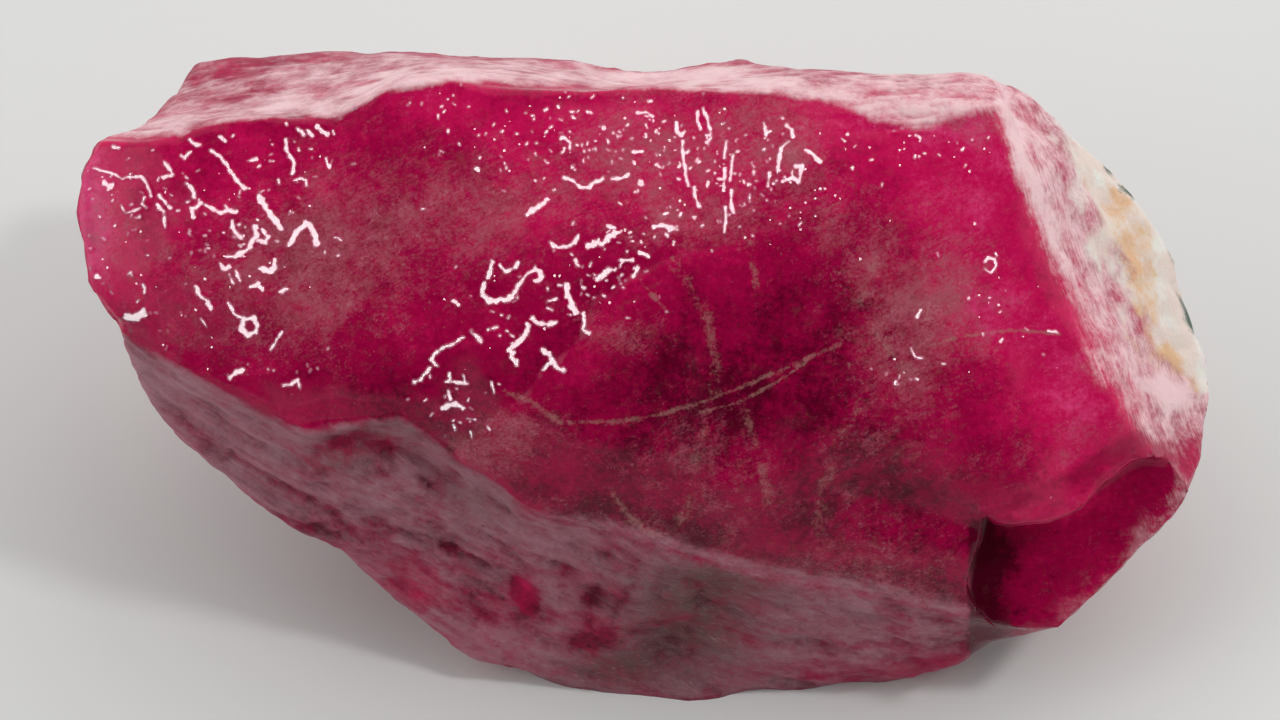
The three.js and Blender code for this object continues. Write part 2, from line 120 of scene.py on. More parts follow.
glints = [
    (1.6, 94,168, 104,171, 114,174, 121,179, 128,177, 140,176, 144,180, 150,196),
    (3, 104,183, 108,188, 110,185), (1.6, 144,197, 141,204, 146,208),
    (1.6, 121,205, 125,213, 132,211, 140,208), (1.8, 158,195, 165,203, 170,208),
    (1.5, 157,205, 163,212, 165,228), (2, 165,163, 170,170, 172,175, 162,177),
    (2.2, 187,184, 192,189, 194,197), (2, 200,203, 195,208, 190,208, 193,217),
    (2, 205,205, 213,209, 221,213, 228,209, 236,212),
    (1.8, 211,151, 219,155, 225,163, 231,172, 238,182, 246,188), (1.8, 190,140, 194,144, 200,145),
    (1.6, 181,155, 184,158, 191,151), (1.6, 220,137, 225,141), (1.6, 248,161, 256,159),
    (1.8, 286,140, 286,149, 291,157, 294,163, 292,173), (2, 298,129, 304,134),
    (2.2, 317,126, 323,132, 327,134), (1.6, 307,130, 312,136), (1.5, 326,158, 329,168, 332,160),
    (1.2, 294,180, 300,178, 306,180, 306,185), (3, 260,197, 264,205, 270,215, 277,222, 281,229),
    (2, 232,222, 234,231, 241,238), (2.6, 228,257, 238,256, 247,250, 252,243, 256,236, 255,227),
    (2, 258,240, 266,243, 268,236, 263,230),
    (2.6, 290,246, 293,236, 299,231, 306,224, 310,226, 314,236, 316,243), (2.2, 220,264, 224,270, 229,267),
    (1.6, 229,275, 233,284), (1.6, 236,272, 240,281), (2.4, 261,269, 269,272, 276,268, 275,261),
    (2, 251,287, 258,284, 262,290), (2, 280,292, 287,290), (2.4, 195,287, 198,295, 205,301, 210,309),
    (1.5, 200,320, 206,327), (1.8, 228,304, 234,314, 241,319),
    (2.6, 243,322, 241,330, 247,335, 256,333, 258,325, 252,319, 245,320), (1.3, 270,350, 282,332),
    (2.6, 229,378, 236,373, 243,370), (2, 283,387, 290,385, 297,381, 299,388),
    (4, 124,320, 136,318, 143,313), (1.5, 113,147, 119,147), (2.2, 95,276, 97,278), (1.8, 142,286, 144,293),
    (2.2, 491,262, 491,270, 488,278),
    (2.5, 485,284, 482,293, 486,300, 495,301, 505,300, 512,296, 517,288, 522,280, 528,273, 535,269, 541,272,
     541,279, 535,281), (1.8, 500,266, 506,272, 514,268, 518,263),
    (2.4, 527,214, 533,210, 541,205, 547,199), (1.8, 564,177, 572,180, 580,186, 588,188, 594,182, 603,179),
    (1.8, 612,179, 622,178, 628,174), (2.5, 640,181, 643,184),
    (2.2, 551,243, 558,247, 567,247, 575,242, 578,236), (3, 588,246, 594,243, 602,243, 608,238, 615,233),
    (1.8, 608,226, 615,228), (2.4, 597,279, 604,274, 610,269),
    (3, 567,285, 566,293, 570,300, 572,307, 575,312), (2, 583,313, 585,322, 583,330, 590,333),
    (2.2, 532,318, 538,323, 547,324, 556,322), (3, 528,325, 526,334, 518,342, 510,350, 512,358, 516,363),
    (2.4, 542,350, 548,355, 552,362, 558,368, 563,370), (2, 543,370, 548,365, 552,363),
    (2.4, 470,332, 476,337, 481,341), (1.5, 487,330, 497,327),
    (1.7, 462,338, 454,344, 445,347, 437,352, 430,360, 437,366), (2, 413,384, 420,380, 427,373, 429,369),
    (2, 447,382, 456,383, 467,384), (1.5, 449,374, 450,380), (1.5, 463,376, 464,383),
    (2.3, 442,409, 450,405, 458,405, 463,409), (2, 448,392, 450,400), (1.5, 467,419, 475,420),
    (1.8, 453,425, 454,431), (1.6, 470,433, 472,438), (1.3, 491,382, 494,393), (1.5, 452,301, 458,305),
    (1.6, 547,308, 552,310), (1.4, 548,301, 556,299), (2, 475,168, 478,170), (2, 622,260, 632,260),
    (2, 633,276, 638,268), (2, 640,253, 648,256), (1.8, 575,260, 578,266),
    (1.5, 676,122, 677,131, 681,135, 685,131), (1.7, 682,141, 683,155, 685,170, 688,185),
    (1.4, 697,111, 698,122, 701,129), (1.5, 703,108, 707,118, 710,130, 711,138, 706,142),
    (1.6, 694,187, 695,197, 700,207), (1.6, 726,142, 724,157), (1.5, 725,168, 724,180, 724,190),
    (1.3, 725,207, 726,220, 724,232), (1.3, 733,155, 731,170, 730,180), (1.5, 731,190, 731,202, 733,213),
    (1.4, 764,123, 766,135), (1.5, 786,126, 791,130, 793,137), (1.6, 788,142, 781,148, 779,160, 777,173),
    (1.6, 770,172, 768,186), (1.5, 806,151, 812,154, 819,163), (1.7, 795,167, 801,166, 800,178),
    (1.8, 783,182, 792,177, 799,182), (2, 654,227, 662,224, 672,229), (1.3, 637,112, 646,112, 653,116),
    (1.5, 634,152, 642,151), (1.5, 564,137, 570,142, 570,149),
    (1.3, 985,262, 988,258, 995,259, 996,266, 991,273, 985,269), (1.4, 917,317, 921,310),
    (1.6, 1048,331, 1057,332), (1.3, 911,348, 915,357, 922,358),
]


def gapTo(x, y, line):
    # pixels from a line of places, and the sign of the side: above or left of it is positive
    best = np.full(len(x), 1e9)
    side = np.ones(len(x))
    for ax, ay, bx, by in zip(line[::2], line[1::2], line[2::2], line[3::2]):
        t = np.clip(((x - ax) * (bx - ax) + (y - ay) * (by - ay)) / math.dist((ax, ay), (bx, by)) ** 2, 0, 1)
        gap = np.hypot(x - ax - t * (bx - ax), y - ay - t * (by - ay))
        near = gap < best
        best[near] = gap[near]
        side[near] = np.sign((bx - ax) * (y - ay) - (by - ay) * (x - ax))[near]
    return best, side


# tiny ones, sprinkled: middle and half size of the patch in pixels, then how many
sprinkles = [
    (205,225, 80,70, 56), (120,180, 40,40, 14), (160,320, 50,30, 12), (300,150, 40,24, 16),
    (450,110, 60,24, 12), (560,140, 80,40, 80), (650,140, 40,40, 34), (745,165, 70,50, 74),
    (610,265, 45,36, 46), (690,225, 60,14, 20), (455,400, 36,36, 16), (520,300, 50,40, 16),
    (920,145, 70,22, 22), (1000,300, 40,60, 10), (330,240, 60,50, 6), (300,372, 60,14, 8),
    (92,240, 16,60, 10), (905,372, 24,14, 8),
]
glintShape = {
    "waver": 1, "waverSize": 5,   # share of the half width, pixels
    "reach": 12,   # pixels, no glint is looked for further off
    "tinySpread": 0.6,   # of the patch's half size
    "tinyWidth": (0.6, 1.3), "tinyLength": (0.5, 3.5), "tinyTurn": (0, 6.28),
    "seed": 11,
}


def sprinkle():
    dice = random.Random(glintShape["seed"])
    spread = glintShape["tinySpread"]
    for middleX, middleY, wide, high, count in sprinkles:
        for _ in range(count):
            x = dice.gauss(middleX, wide * spread)
            y = dice.gauss(middleY, high * spread)
            turn = dice.uniform(*glintShape["tinyTurn"])
            long = dice.uniform(*glintShape["tinyLength"])
            halfWidth = dice.uniform(*glintShape["tinyWidth"])
            glints.append((halfWidth, x, y, x + long * math.cos(turn), y + long * math.sin(turn)))


def glintGap(x, y, halfWidth, line):
    # pixels outside the wavering edge of a glint
    size = glintShape["waverSize"]
    spots = np.stack([x / size, y / size, np.full(len(x), halfWidth)], 1).tolist()
    waver = np.array([noise.noise(spot) for spot in spots]) * glintShape["waver"]
    return gapTo(x, y, line)[0] - halfWidth * (1 + waver)


def nearGlint(x, y):
    # pixels from the edge of the nearest glint
    best = np.full(len(x), 1e9)
    reach = glintShape["reach"]
    for halfWidth, *line in glints:
        xs, ys = line[::2], line[1::2]
        close = (x > min(xs) - reach) & (x < max(xs) + reach) & (y > min(ys) - reach) & (y < max(ys) + reach)
        if close.any():
            best[close] = np.minimum(best[close], glintGap(x[close], y[close], halfWidth, line))
    return best


sprinkle()

# pale veins in the face: width, then the line as x, y, x, y
veins = [
    (0.7, 570,421, 620,421, 660,414, 700,403, 740,388, 780,370, 840,345),
    (0.5, 700,412, 740,402, 780,380, 806,362),
    (2, 676,262, 690,285, 705,310, 713,345, 716,380, 704,430, 694,470, 690,505, 672,530),
    (1.2, 612,488, 622,508, 645,530, 672,538), (0.8, 640,280, 655,298, 668,312),
    (1.4, 748,238, 752,262, 756,285), (1.6, 740,400, 752,430, 762,470, 768,500),
    (1, 560,420, 530,400, 505,392), (2.2, 860,400, 838,440, 822,490, 815,540),
    (0.6, 930,345, 960,337, 1010,330, 1060,334), (1.8, 880,250, 860,300, 880,340, 905,370),
]
veinShape = {
    "halfWidth": 0.15,   # mm, times the width above
    "strength": 0.85,
    "clear": 4,   # pixels from its middle that have the finest triangles
}


def nearVein(x, y):
    # pixels from the nearest vein
    return np.min([np.maximum(gapTo(x, y, line)[0] - veinShape["clear"], 0) for _, *line in veins], axis=0)


# the skin of the stone: the CAD solid with finer triangles and rounded facets

skin = {
    # mm
    "longestEdge": {"glint": 0.08, "vein": 0.15, "face": 0.33, "sides": 0.46, "hidden": 0.55, "base": 2},
    "reachesBack": {"glint": -2.5, "face": -3.6, "sides": -12.5},   # mm from the plane of the face
    "growth": {"glint": 0.8, "vein": 0.9},   # mm of edge for each mm away from one
    "glintBorder": 1.5,   # pixels round a glint that are as fine as it is
    "halvings": 9,   # at most
    "baseTop": 0.02,   # mm, lower points lie on the base and stay
    "weld": 0.001,   # mm
    "creaseAngle": 33,   # degrees, ridges that stay sharp
    "evenRidges": 6, "roundFacets": 30, "softenRidges": 2, "evenOut": 5,   # rounds of smoothing
    "shares": {"plain": 0.5, "soften": 0.4, "evenOut": 0.8},   # of the way, in each round
    "shortEdge": 0.02,   # mm, shorter ones pull no harder
}


def edgeLimits(middles, nearTheGlints):
    edges, back, growth = skin["longestEdge"], skin["reachesBack"], skin["growth"]
    x, y, out = faceView(middles)
    limit = np.where(out > back["face"], edges["face"], edges["sides"])
    limit[out < back["sides"]] = edges["hidden"]
    limit[middles[:, 2] < skin["baseTop"]] = edges["base"]
    if nearTheGlints:
        fromGlint = np.maximum(nearGlint(x, y) - skin["glintBorder"], 0) / shot["pxPerMm"]
        fromVein = nearVein(x, y) / shot["pxPerMm"]
        fine = np.minimum(limit, edges["glint"] + growth["glint"] * fromGlint)
        limit = np.where(out > back["glint"], fine, limit)
        fine = np.minimum(limit, edges["vein"] + growth["vein"] * fromVein)
        limit = np.where(out > back["face"], fine, limit)
    return limit


def edgesOf(corners):
    # every edge once, and the three edge numbers of each triangle: ab, bc, ca
    pairs = np.concatenate([corners[:, (0, 1)], corners[:, (1, 2)], corners[:, (2, 0)]])
    edges, numbers = np.unique(np.sort(pairs, axis=1), axis=0, return_inverse=True)
    return edges, numbers.reshape(3, -1).T


def refine(points, corners, nearTheGlints):
    # halves the edges that are too long, until none is left
    for _ in range(skin["halvings"]):
        edges, ofCorner = edgesOf(corners)
        reach = np.linalg.norm(points[edges[:, 0]] - points[edges[:, 1]], axis=1)
        middles = points[edges].mean(axis=1)
        cut = reach > edgeLimits(middles, nearTheGlints)
        if not cut.any():
            break
        newPoint = len(points) + np.cumsum(cut) - 1
        points = np.concatenate([points, middles[cut]])
        marks = cut[ofCorner]
        count = marks.sum(axis=1)
        turn = np.zeros(len(corners), int)   # turns each triangle so that its cuts come first
        turn[(count == 1) & marks[:, 1]] = 1
        turn[(count == 1) & marks[:, 2]] = 2
        turn[(count == 2) & ~marks[:, 0]] = 1
        turn[(count == 2) & ~marks[:, 1]] = 2
        order = (np.arange(3) + turn[:, None]) % 3
        a, b, c = np.take_along_axis(corners, order, 1).T
        ab, bc, ca = np.take_along_axis(newPoint[ofCorner], order, 1).T
        one, two, three = (count == k for k in (1, 2, 3))
        shortWay = np.linalg.norm(points[a] - points[np.where(two, bc, a)], axis=1) \
            < np.linalg.norm(points[np.where(two, ab, c)] - points[c], axis=1)
        left, right = two & shortWay, two & ~shortWay
        made = [(corners[count == 0],)]
        for which, sets in (
            (one, ((a, ab, c), (ab, b, c))),
            (two, ((ab, b, bc),)),
            (left, ((a, ab, bc), (a, bc, c))),
            (right, ((a, ab, c), (ab, bc, c))),
            (three, ((a, ab, ca), (ab, b, bc), (ca, bc, c), (ab, bc, ca))),
        ):
            made.append([np.stack([corner[which] for corner in trio], 1) for trio in sets])
        corners = np.concatenate([part for parts in made for part in parts])
    return points, corners


def unit(arrows):
    return arrows / np.maximum(np.linalg.norm(arrows, axis=1, keepdims=True), 1e-12)


def sharpEdges(points, corners, ofCorner):
    a, b, c = (points[corners[:, i]] for i in range(3))
    square = unit(np.cross(b - a, c - a))
    faces = np.argsort(ofCorner.ravel(), kind="stable").reshape(-1, 2) // 3
    fold = np.sum(square[faces[:, 0]] * square[faces[:, 1]], axis=1)
    return fold < math.cos(math.radians(skin["creaseAngle"]))


def normalsOf(points, corners):
    a, b, c = (points[corners[:, i]] for i in range(3))
    crossed = np.cross(b - a, c - a)
    total = np.zeros_like(points)
    for i in range(3):
        for axis in range(3):
            total[:, axis] += np.bincount(corners[:, i], crossed[:, axis], len(points))
    return unit(total)


def relax(points, edges, rounds, moving, corners=None, share=skin["shares"]["plain"]):
    # evens the points out; with corners given they move square to the surface alone
    count = len(points)
    start, end = edges.T
    reach = 1 / np.maximum(np.linalg.norm(points[start] - points[end], axis=1), skin["shortEdge"])
    pull = np.maximum(np.bincount(start, reach, count) + np.bincount(end, reach, count), 1e-9)
    for _ in range(rounds):
        move = np.zeros_like(points)
        for axis in range(3):
            line = points[:, axis]
            total = np.bincount(start, line[end] * reach, count)
            total += np.bincount(end, line[start] * reach, count)
            move[:, axis] = (total / pull - line) * share * moving
        if corners is not None:
            square = normalsOf(points, corners)
            move = square * np.sum(move * square, axis=1, keepdims=True)
        points += move


def makeSkin(node):
    bm = bmesh.new()
    bm.from_mesh(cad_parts[node].data)
    bmesh.ops.scale(bm, vec=(1 / mm, 1 / mm, 1 / mm), verts=bm.verts)
    bmesh.ops.remove_doubles(bm, verts=bm.verts, dist=skin["weld"])
    bm.verts.index_update()
    points = np.array([v.co for v in bm.verts])
    corners = np.array([[v.index for v in f.verts] for f in bm.faces])
    bm.free()
    points, corners = refine(points, corners, False)
    edges, ofCorner = edgesOf(corners)
    creases = sharpEdges(points, corners, ofCorner)
    free = (points[:, 2] > skin["baseTop"]).astype(float)
    ridgeCount = np.bincount(edges[creases].ravel(), minlength=len(points))
    relax(points, edges[creases], skin["evenRidges"], (ridgeCount == 2) * free)
    relax(points, edges, skin["roundFacets"], (ridgeCount == 0) * free, corners)
    relax(points, edges, skin["softenRidges"], free, share=skin["shares"]["soften"])
    ridge = points[(ridgeCount > 0) & (free > 0)]
    points, corners = refine(points, corners, True)
    free = (points[:, 2] > skin["baseTop"]) * skin["shares"]["evenOut"]
    relax(points, edgesOf(corners)[0], skin["evenOut"], free, corners)
    return points, corners, ridge


points, corners, ridgePoints = makeSkin("tugtupite")
normals = normalsOf(points, corners)
faceX, faceY, faceOut = faceView(points)
toMm = 1 / shot["pxPerMm"]
along = faceX * toMm
low = faceY * toMm
print("skin:", len(points), "points,", len(corners), "triangles")

# regions of the stone, led by lines drawn on the face, as x, y, x, y in pixels

crestLine = [
    60,140, 96,137, 180,136, 200,126, 300,115, 340,120, 365,103, 385,90, 480,80, 600,84, 760,91, 830,102,
    880,120, 930,122, 1000,105, 1080,60]
footLine = [
    60,300, 125,335, 180,366, 227,393, 292,426, 308,430, 350,422, 400,417, 435,438, 460,460, 485,472,
    508,488, 527,507, 560,522, 588,528, 640,540, 700,558, 751,576, 815,587, 878,598, 937,612, 992,622,
    1010,634, 1060,700]
bevelLine = [
    994,60, 996,105, 1002,123, 1011,161, 1030,207, 1046,248, 1065,290, 1082,332, 1107,373, 1140,400,
    1160,430, 1170,460]
breakLine = [830, 180, 740, 235, 700, 250, 640, 275, 600, 300, 580, 340, 520, 400, 470, 440]
stainLine = [1118, 205, 1132, 250, 1146, 300, 1136, 345, 1168, 385, 1178, 400]

# the notch, in pixels: the lobe over it climbs to the right, and its floor is paler along its lower right,
# where a glow of the thin rim is painted
notch = {"lobeRight": 1190, "lobeSlope": 0.55, "floorSlope": 0.9}

# pixels over which each of these begins, from left to right or from the top down
starts = {
    "notch": (966, 974), "notchBelow": (395, 410), "nearNotch": (950, 962), "nearNotchBelow": (378, 392),
    "notchFloor": (978, 1032), "notchGlow": (1590, 1700), "notchFrost": (1570, 1660),
    "rightWet": (830, 880), "foot": (500, 600), "lowBand": (430, 520), "edgeFrost": (300, 420),
    "stripFolds": (800, 900),
}
# and pixels over which each of these ends
ends = {
    "behind": (190, 250), "end": (470, 500), "wet": (830, 890), "breakStep": (620, 820),
    "edgeFrost": (420, 450), "crust": (380, 455),
}
# values that change along the frame: pixels from the left or the top, then the value at each
trends = {
    "crestReach": ((380, 520, 820, 900, 1000), (0.12, 0.22, 0.3, 0.6, 0.45)),   # mm
    "edgeFrost": ((60, 110, 260, 340, 410), (0.3, 0.85, 0.78, 0.32, 0.05)),
    "veil": ((150, 260, 400, 560, 700, 820, 960), (0.38, 0.42, 0.55, 0.52, 0.62, 0.46, 0.3)),
}
# soft stripes along an edge: mm from it to their middle, and half their width
stripes = {
    "edgeFrost": (0.36, 0.42), "edgeVeil": (1.4, 1.2), "crestHighlight": (-0.35, 0.35), "lowBand": (0.7, 0.7),
    "footFilm": (0.25, 0.45),
}
# how far soft borders waver: shares of a turn and of a reach, then mm, then pixels
wavers = {
    "seenEdge": 0.22, "rindEdge": 0.3, "crestEdge": 0.1, "crustEdge": 0.9, "breakEdge": 7, "notchEdge": 14}
# pixels: the border along the break, the tone beside it, the stain, and the calm water round a glint
pixelReach = {"break": (-8, 8), "breakTone": 70, "stain": 24, "calm": (-1, 3)}
# soft borders: mm, or for the first ones how far the surface turns to the camera
borders = {
    "seen": (-0.02, 0.12), "seenWide": (-0.62, -0.05), "squareOn": (0.4, 0.6), "softRim": (0, 0.5),
    "veilTurn": (-0.1, 0.4),
    "behind": (1.8, 2.6), "besideBevel": (-0.6, 0.6), "bevel": (-0.1, 0.1), "end": (-0.3, 0.5),
    "notchDeep": (1.4, 2.2), "notchNotDeep": (-9.5, -8.5), "stripNotDeep": (-14, -9),
    "glintNotDeep": (-2.6, -2.2),
    "foot": (-0.06, 0.16), "flank": (-0.16, 0.16), "crest": (-0.1, 0.06), "overCrest": 0.12,
    "ridge": (0, 0.6), "base": (0, 0.8), "endGrain": (0.5, 2.5), "steep": (-2, -0.5),
    "endFrost": (0.3, 1.2), "edgeFrost": (-1.8, 0.2), "crust": (1.2, 3.4), "ochre": (0.8, 1.4),
    "glint": (0, 2),   # pixels
    "rind": (0, 0.35),   # shares of its reach
    # and these are values of the soft noise
    "filmHoles": (0.05, 0.5), "hiddenFrost": (0.1, 0.5), "hiddenOchre": (0.1, 0.4), "hiddenHost": (0.35, 0.7),
    "blockHaze": (0.2, 0.9),
}

# soft noise: the size of its lumps in mm, a seed, and how many finer layers it has
clouds = {
    "swell": (4.5, 1, 2), "lumps": (1.5, 7, 2), "waves": (0.85, 13, 1), "ripples": (0.42, 17, 1),
    "endGrain": (1.1, 39, 3), "scars": (3.4, 43, 4), "hiddenLumps": (0.8, 47, 2),
    "seenEdge": (1.6, 67, 3), "breakEdge": (1.3, 73, 2), "crestEdge": (0.9, 75, 2), "notchEdge": (1.3, 91, 3),
    "zones": (2.6, 3, 3), "flankZones": (2, 5, 3), "hiddenZones": (5, 9, 3), "filmHoles": (1.8, 19, 3),
    "hiddenFilm": (3.6, 81, 3), "hiddenFrost": (4, 71, 3), "rindEdge": (3, 51, 4),
    "crustEdge": (1.6, 57, 4), "ochre": (1.2, 63, 3), "hiddenOchre": (2.6, 59, 3), "hiddenHost": (1.4, 61, 3),
}

# drawn out grain: size in mm along, across and into the stone, how far it leans, a seed and layers
drawnGrain = {
    "flankStreaks": (6, 0.9, 2.5, 1 / 12, 29, 3), "flankFibres": (2.4, 0.4, 1.5, 1 / 10, 31, 3),
    "nicheFibres": (0.5, 2.4, 2, 0, 33, 3), "blockFibres": (0.9, 3.4, 1, 0, 35, 2),
    "stripFolds": (4, 0.45, 3, -1 / 7, 37, 3),
}
blockLean = (1.1, 0.5)   # the fibres of the block run across the others

# soft oval patches: x, y, half width and half height in pixels, strength
patches = {
    "wet": [
        (150,200, 80,60, 0.7), (230,240, 70,70, 0.7), (300,150, 60,50, 0.7), (170,290, 60,40, 0.5),
        (520,300, 90,50, 0.8), (450,400, 50,60, 0.9), (590,250, 70,50, 0.8), (560,130, 120,60, 0.7),
        (740,160, 100,70, 1), (650,210, 60,50, 0.7), (900,130, 90,30, 0.5)],
    "niche": [(375,452, 70,26, 1), (480,500, 50,22, 0.8), (560,535, 40,16, 0.6)],
    "block": [(900,470, 90,40, 1), (820,540, 40,50, 0.8), (930,560, 60,40, 0.5)],
    "topFold": [(925,108, 75,26, 1.6)],
    # tone: partly the stone's own patches, partly a painted glow of the thin left tip, crest and right end
    # and painted shade in the thick middle
    "tone": [
        (85,230, 36,100, 0.75), (120,170, 40,30, 0.2), (200,165, 120,50, 0.22), (190,280, 90,60, 0.14),
        (430,100, 60,26, 0.35), (560,125, 110,50, 0.28), (720,160, 120,70, 0.4), (510,215, 60,40, 0.2),
        (640,210, 60,40, 0.15), (900,130, 110,40, 0.45), (990,230, 60,110, 0.48), (930,200, 60,50, 0.12),
        (1070,370, 60,70, 0.52), (1090,450, 60,45, 0.35), (985,315, 60,30, 0.28), (700,390, 170,100, -0.32),
        (620,430, 80,50, -0.06), (830,300, 60,100, -0.18), (880,490, 80,60, -0.16), (380,455, 70,34, -0.3),
        (400,390, 90,40, -0.16), (560,500, 90,40, -0.06), (900,535, 60,40, -0.08), (700,520, 110,34, -0.12),
        (1060,450, 60,24, -0.14), (1030,510, 50,14, 0.45), (1095,478, 40,16, 0.45), (540,330, 60,50, 0.14),
        (470,350, 60,50, 0.14), (150,180, 90,40, -0.08), (420,170, 60,50, -0.12)],
    "flankTone": [
        (525,592, 12,20, 0.5), (400,590, 90,34, 0.25), (500,650, 80,30, 0.25), (900,668, 120,18, 0.25),
        (380,455, 60,20, 0.12)],
    "lobeTone": [(1015,514, 50,12, 0.55), (1080,497, 34,12, 0.35), (1120,470, 20,14, 0.2)],
    "brightSpot": [(525,592, 14,22, 1.3)],
    "haze": [
        (230,290, 110,80, 0.48), (330,250, 90,100, 0.7), (130,210, 60,60, 0.15), (480,210, 100,80, 0.6),
        (620,150, 60,60, 0.6), (720,150, 90,70, 0.65), (700,225, 80,26, 0.6), (790,140, 40,50, 0.5),
        (90,230, 30,90, 0.45), (940,220, 50,40, 0.2), (840,240, 40,60, 0.5), (520,200, 60,30, 0.2),
        (640,470, 60,40, 0.25), (740,480, 60,60, 0.3), (480,440, 50,40, 0.6), (900,335, 60,100, 0.75),
        (880,560, 70,50, 0.4), (960,300, 60,60, 0.6), (1070,450, 80,60, 0.38), (980,115, 60,30, 0.7),
        (860,450, 50,60, 0.12), (620,335, 50,30, 0.6), (540,430, 60,30, 0.4), (700,440, 50,90, 0.25)],
    "filmHoles": [
        (525,592, 12,20, 0.9), (400,585, 60,24, 0.25), (350,545, 40,14, 0.35), (500,640, 60,14, 0.1),
        (590,600, 30,40, 0.3), (370,446, 46,14, 0.5), (900,672, 120,14, 0.5), (596,638, 24,12, 0.9),
        (490,600, 20,14, 0.4), (320,524, 30,10, 0.4), (470,560, 60,30, 0.2), (950,645, 70,20, 0.3),
        (160,384, 50,22, -0.35), (300,480, 40,20, 0.25)],
    "umber": [
        (690,625, 80,60, 1), (610,670, 50,22, 0.8), (730,575, 70,24, 0.6), (380,440, 60,24, 0.5),
        (330,460, 40,14, 0.4), (480,500, 60,24, 0.35)],
    "veilHoles": [
        (235,68, 44,12, 0.22), (330,60, 40,8, 0.12), (215,100, 30,5, 0.2), (350,118, 14,5, 0.2),
        (980,95, 20,10, 0.1)],
    "notchFrost": [(1172,438, 22,20, 0.22)],
    "lobeFrost": [(1030,512, 50,12, 0.3), (1095,478, 40,16, 0.3), (1132,450, 24,14, 0.25)],
    "ochre": [(1086,186, 10,12, 0.6), (1150,372, 30,26, 0.9)],
    "host": [
        (1112,168, 13,9, 1.1), (1138,190, 20,11, 1.3), (1174,250, 9,20, 1), (1196,314, 11,20, 1.4),
        (1188,294, 9,11, 1.1)],
}


def smooth(value, start, end):
    t = np.clip((value - start) / (end - start), 0, 1)
    return t * t * (3 - 2 * t)


def begins(value, name):
    return smooth(value, *starts[name])


def stops(value, name):
    return 1 - smooth(value, *ends[name])


def across(value, name):
    return smooth(value, *borders[name])


def heightOf(line):
    return np.interp(faceX, line[::2], line[1::2])


def rightOf(line):
    # mm to the right of a line that runs down the face
    return (faceX - np.interp(faceY, line[1::2], line[::2])) * toMm


def dabs(name):
    # the patches of one name added together
    total = np.zeros(len(points))
    for x, y, wide, high, strength in patches[name]:
        far = ((faceX - x) / wide) ** 2 + ((faceY - y) / high) ** 2
        total += strength * np.exp(-far)
    return total


def noiseAt(a, b, c, detail, seed):
    total = np.zeros(len(a))
    for octave in range(detail):
        step = 2.0 ** octave
        spots = np.stack([a * step + seed, b * step - seed, c * step + 3 * seed + 7 * octave], 1)
        total += np.array([noise.noise(spot) for spot in spots.tolist()]) / step
    return total


def cloud(name):
    # soft noise from about -1 to 1
    size, seed, detail = clouds[name]
    return noiseAt(*(points.T / size), detail, seed)


def waver(name):
    return wavers[name] * cloud(name)


def drawn(name, a, b):
    long, thin, deep, lean, seed, detail = drawnGrain[name]
    return noiseAt(a / long, b / thin - a * lean, faceOut / deep, detail, seed)


def ridged(value):
    return 1 - 2 * np.abs(value)


def hump(value, middle, width):
    return np.exp(-((value - middle) / width) ** 2)


def stripe(value, name):
    return hump(value, *stripes[name])


def fromRidges():
    # mm from the nearest sharp ridge
    tree = kdtree.KDTree(len(ridgePoints))
    for number, place in enumerate(ridgePoints):
        tree.insert(place, number)
    tree.balance()
    return np.array([tree.find(place)[2] for place in points])


towardView = normals @ np.array(towardCamera)
seen = across(towardView, "seen")
seenWide = across(towardView + waver("seenEdge"), "seenWide")
aboveFoot = (heightOf(footLine) - faceY) * toMm
belowCrest = (faceY - heightOf(crestLine)) * toMm
pastBevel = rightOf(bevelLine)
besideBevel = across(-pastBevel, "besideBevel")
offRidge = across(fromRidges(), "ridge")

# the veil along the crest fades over this many mm, from left to right
crestReach = np.interp(faceX, *trends["crestReach"])
behind = across(-faceOut, "behind") * stops(faceY, "behind") * besideBevel
overCrest = smooth(-belowCrest + waver("crestEdge"), -crestReach, borders["overCrest"])
overCrest = np.maximum(overCrest, behind)

underLobe = faceY - notch["lobeSlope"] * (notch["lobeRight"] - faceX)
downRight = faceX + notch["floorSlope"] * faceY
unseenNotch = begins(faceX, "nearNotch") * begins(underLobe, "nearNotchBelow")
unseenNotch = unseenNotch * across(faceOut, "notchNotDeep") * (1 - seen)
inNotch = begins(faceX, "notch") * begins(underLobe, "notchBelow") * across(-faceOut, "notchDeep")
inNotch = np.maximum(inNotch, unseenNotch)

onFace = seen * across(aboveFoot, "foot") * across(belowCrest, "crest")
onFace = onFace * (1 - behind) * across(-pastBevel, "bevel") * (1 - inNotch)
onFlank = seen * across(-aboveFoot, "flank") * (1 - inNotch)
onStrip = seenWide * overCrest * besideBevel * across(faceOut, "stripNotDeep")
onEnd = seenWide * across(pastBevel, "end") * (1 - inNotch) * stops(faceY, "end")
hidden = np.clip(1 - seen - onStrip - onEnd - inNotch, 0, 1)

breakGap, breakSide = gapTo(faceX, faceY, breakLine)
wetSide = smooth(-breakSide * breakGap + waver("breakEdge"), *pixelReach["break"])
rightWet = begins(faceX, "rightWet")
wetShares = {"least": 0.12, "wetSide": 0.88, "right": 0.4}
wet = wetShares["least"] + wetShares["wetSide"] * wetSide * stops(faceX, "wet")
wet = np.clip(dabs("wet"), 0, 1) * onFace * (wet + wetShares["right"] * rightWet)

# grain that both the relief and the colour follow
flankStreaks = ridged(drawn("flankStreaks", along, -aboveFoot))
flankFibres = drawn("flankFibres", along, -aboveFoot)
nicheFibres = drawn("nicheFibres", along, low)
blockFibres = ridged(drawn("blockFibres", along + blockLean[0] * low, low - blockLean[1] * along))
stripFolds = ridged(drawn("stripFolds", along, low))
scars = ridged(cloud("scars"))
niche = dabs("niche") * seen
block = dabs("block") * onFace

